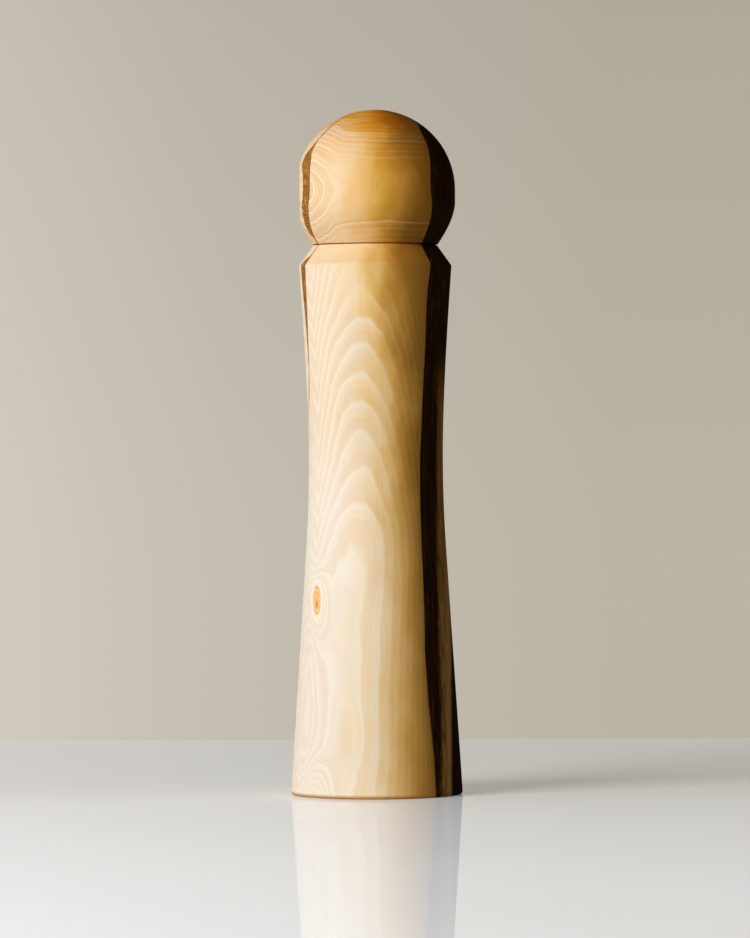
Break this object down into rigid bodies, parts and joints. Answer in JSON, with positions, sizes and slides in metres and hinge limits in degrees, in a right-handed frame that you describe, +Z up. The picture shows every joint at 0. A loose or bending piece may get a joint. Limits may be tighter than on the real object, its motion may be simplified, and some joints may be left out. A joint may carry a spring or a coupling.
{
  "type": "pepper mill",
  "caption": "Tall turned wooden pepper mill with a plain ball head, a hidden hexagonal shaft, a conical ceramic burr pair and a grind adjuster under the foot.",
  "frame": {"origin": "centre of the foot's lower face", "axes": "+Z up along the turning axis, -Y towards the viewer of the main view, +X to the viewer's right"},
  "size_m": [0.0626, 0.0626, 0.25],
  "materials": {
    "body_wood": "oiled, satin",
    "head_wood": "oiled, satin",
    "ceramic": "sintered ceramic, satin",
    "dark_plastic": "moulded, fine matt",
    "pale_plastic": "acetal, satin",
    "shaft_aluminium": "drawn, satin",
    "steel": "spring steel, satin",
    "brass": "turned"
  },
  "bodies": {
    "casing": {"body": "body_wood", "mechanism_housing": "dark_plastic", "housing_screws": "steel", "outer_burr": "ceramic", "burr_retainer": "steel", "shaft_bush": "pale_plastic", "lower_bridge": "dark_plastic", "bridge_screws": "steel"},
    "drive": {"drive_shaft": "shaft_aluminium", "shaft_clips": "steel", "spring_washer": "steel", "burr_spring": "steel"},
    "top": {"head": "head_wood", "head_stopper": "dark_plastic", "stopper_clip": "steel"},
    "grinder": {"inner_burr": "ceramic", "feed_auger": "dark_plastic"},
    "adjuster": {"adjuster_wheel": "dark_plastic", "adjuster_nut": "brass", "wheel_clip": "steel"},
    "lifter": {"adjuster_spindle": "steel", "thrust_ball": "steel"}
  },
  "joints": [
    {"name": "head_turn", "type": "hinge", "parent": "casing", "child": "drive", "pos_m": [0, 0, 0.0455], "axis": [0, 0, 1], "continuous": true},
    {"name": "head_lift", "type": "slide", "parent": "drive", "child": "top", "axis": [0, 0, 1], "range_m": [0, 0.06]},
    {"name": "adjuster_turn", "type": "hinge", "parent": "casing", "child": "adjuster", "pos_m": [0, 0, 0.0085], "axis": [0, 0, 1], "range_deg": [0, 540]},
    {"name": "lifter_slide", "type": "slide", "parent": "casing", "child": "lifter", "axis": [0, 0, 1], "range_m": [-0.00155, 0.00005]},
    {"name": "burr_slide", "type": "slide", "parent": "drive", "child": "grinder", "axis": [0, 0, 1], "range_m": [-0.00155, 0.00005], "deforming": ["burr_spring"]}
  ],
  "couplings": [
    {"joint": "lifter_slide", "follows": "adjuster_turn", "m_per_rad": -0.00015915},
    {"joint": "burr_slide", "follows": "adjuster_turn", "m_per_rad": -0.00015915}
  ]
}
